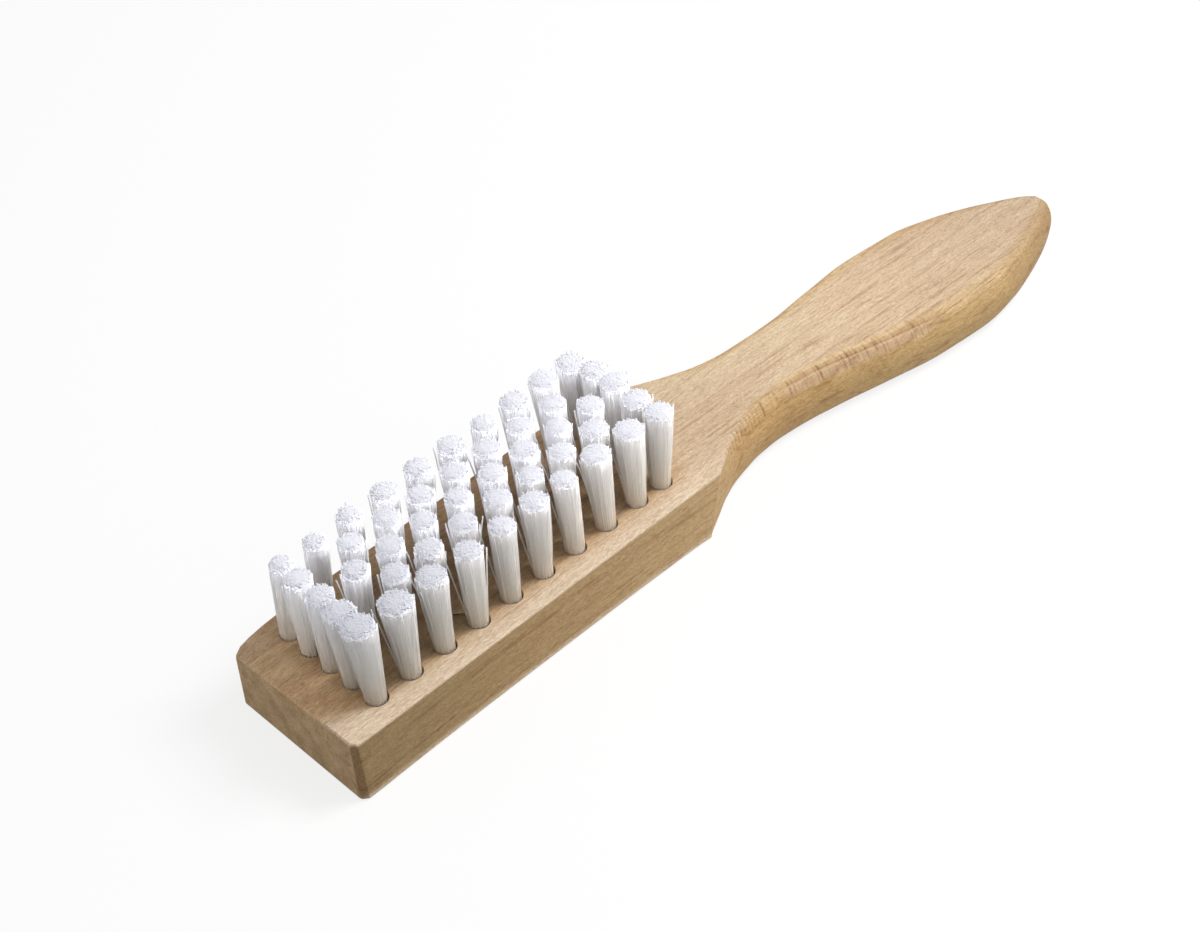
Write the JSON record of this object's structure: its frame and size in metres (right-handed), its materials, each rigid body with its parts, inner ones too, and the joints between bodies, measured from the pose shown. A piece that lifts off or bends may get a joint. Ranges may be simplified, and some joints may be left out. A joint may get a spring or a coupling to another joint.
{
  "type": "spotting brush",
  "caption": "Flat-backed wooden hand brush with a straight block of short upright bristle tufts and a contoured handle in one piece with the block.",
  "frame": {"origin": "centre of the flat back of the head, the face the brush lies on", "axes": "+X along the head towards the tip of the handle, +Y across the head, +Z the way the bristles point"},
  "size_m": [0.2043, 0.0382, 0.0317],
  "materials": {
    "beech": "sanded, unvarnished beech with fine grain along the length",
    "nylon_bristle": "white, slightly translucent nylon filaments with a soft sheen"
  },
  "bodies": {
    "root": {"beech_block_and_handle": "beech", "tuft_row1_01": "nylon_bristle", "tuft_row1_02": "nylon_bristle", "tuft_row1_03": "nylon_bristle", "tuft_row1_04": "nylon_bristle", "tuft_row1_05": "nylon_bristle", "tuft_row1_06": "nylon_bristle", "tuft_row1_07": "nylon_bristle", "tuft_row1_08": "nylon_bristle", "tuft_row1_09": "nylon_bristle", "tuft_row1_10": "nylon_bristle", "tuft_row2_01": "nylon_bristle", "tuft_row2_02": "nylon_bristle", "tuft_row2_03": "nylon_bristle", "tuft_row2_04": "nylon_bristle", "tuft_row2_05": "nylon_bristle", "tuft_row2_06": "nylon_bristle", "tuft_row2_07": "nylon_bristle", "tuft_row2_08": "nylon_bristle", "tuft_row2_09": "nylon_bristle", "tuft_row3_01": "nylon_bristle", "tuft_row3_02": "nylon_bristle", "tuft_row3_03": "nylon_bristle", "tuft_row3_04": "nylon_bristle", "tuft_row3_05": "nylon_bristle", "tuft_row3_06": "nylon_bristle", "tuft_row3_07": "nylon_bristle", "tuft_row3_08": "nylon_bristle", "tuft_row3_09": "nylon_bristle", "tuft_row3_10": "nylon_bristle", "tuft_row4_01": "nylon_bristle", "tuft_row4_02": "nylon_bristle", "tuft_row4_03": "nylon_bristle", "tuft_row4_04": "nylon_bristle", "tuft_row4_05": "nylon_bristle", "tuft_row4_06": "nylon_bristle", "tuft_row4_07": "nylon_bristle", "tuft_row4_08": "nylon_bristle", "tuft_row4_09": "nylon_bristle", "tuft_row5_01": "nylon_bristle", "tuft_row5_02": "nylon_bristle", "tuft_row5_03": "nylon_bristle", "tuft_row5_04": "nylon_bristle", "tuft_row5_05": "nylon_bristle", "tuft_row5_06": "nylon_bristle", "tuft_row5_07": "nylon_bristle", "tuft_row5_08": "nylon_bristle", "tuft_row5_09": "nylon_bristle", "tuft_row5_10": "nylon_bristle"}
  },
  "joints": []
}
